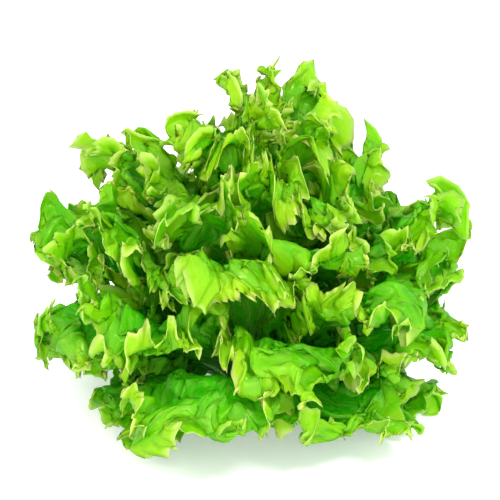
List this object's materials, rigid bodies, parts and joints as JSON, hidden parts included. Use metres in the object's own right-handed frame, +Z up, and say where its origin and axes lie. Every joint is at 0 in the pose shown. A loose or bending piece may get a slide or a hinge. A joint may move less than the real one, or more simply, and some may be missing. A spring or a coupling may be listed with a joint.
{
  "type": "lollo bionda lettuce head",
  "caption": "Whole head of frilly green leaf lettuce: crinkled fan leaves set spirally round a short cut stem, standing upright.",
  "frame": {"origin": "centre of the stem's flat cut face, which is the lowest face of the head and the face it stands on", "axes": "+Z up along the stem towards the heart of the head; +X and +Y across the head, which is about as wide one way as the other"},
  "size_m": [0.2609, 0.2517, 0.1996],
  "materials": {
    "stem": "moist pale plant flesh, satin",
    "heart_leaf": "thin yellow-green leaf, light shows through, soft gloss",
    "outer_leaf": "thin mid-green leaf with a pale margin, light shows through, soft gloss"
  },
  "bodies": {
    "root": {"stem": "stem", "leaf_01": "heart_leaf", "leaf_02": "heart_leaf", "leaf_03": "heart_leaf", "leaf_04": "heart_leaf", "leaf_05": "heart_leaf", "leaf_06": "heart_leaf", "leaf_07": "heart_leaf", "leaf_08": "heart_leaf", "leaf_09": "heart_leaf", "leaf_10": "heart_leaf", "leaf_11": "outer_leaf", "leaf_12": "outer_leaf", "leaf_13": "outer_leaf", "leaf_14": "outer_leaf", "leaf_15": "outer_leaf", "leaf_16": "outer_leaf", "leaf_17": "outer_leaf", "leaf_18": "outer_leaf", "leaf_19": "outer_leaf", "leaf_20": "outer_leaf", "leaf_21": "outer_leaf", "leaf_22": "outer_leaf", "leaf_23": "outer_leaf", "leaf_24": "outer_leaf", "leaf_25": "outer_leaf", "leaf_26": "outer_leaf", "leaf_27": "outer_leaf", "leaf_28": "outer_leaf", "leaf_29": "outer_leaf", "leaf_30": "outer_leaf", "leaf_31": "outer_leaf", "leaf_32": "outer_leaf", "leaf_33": "outer_leaf", "leaf_34": "outer_leaf", "leaf_35": "outer_leaf", "leaf_36": "outer_leaf", "leaf_37": "outer_leaf", "leaf_38": "outer_leaf"}
  },
  "joints": []
}
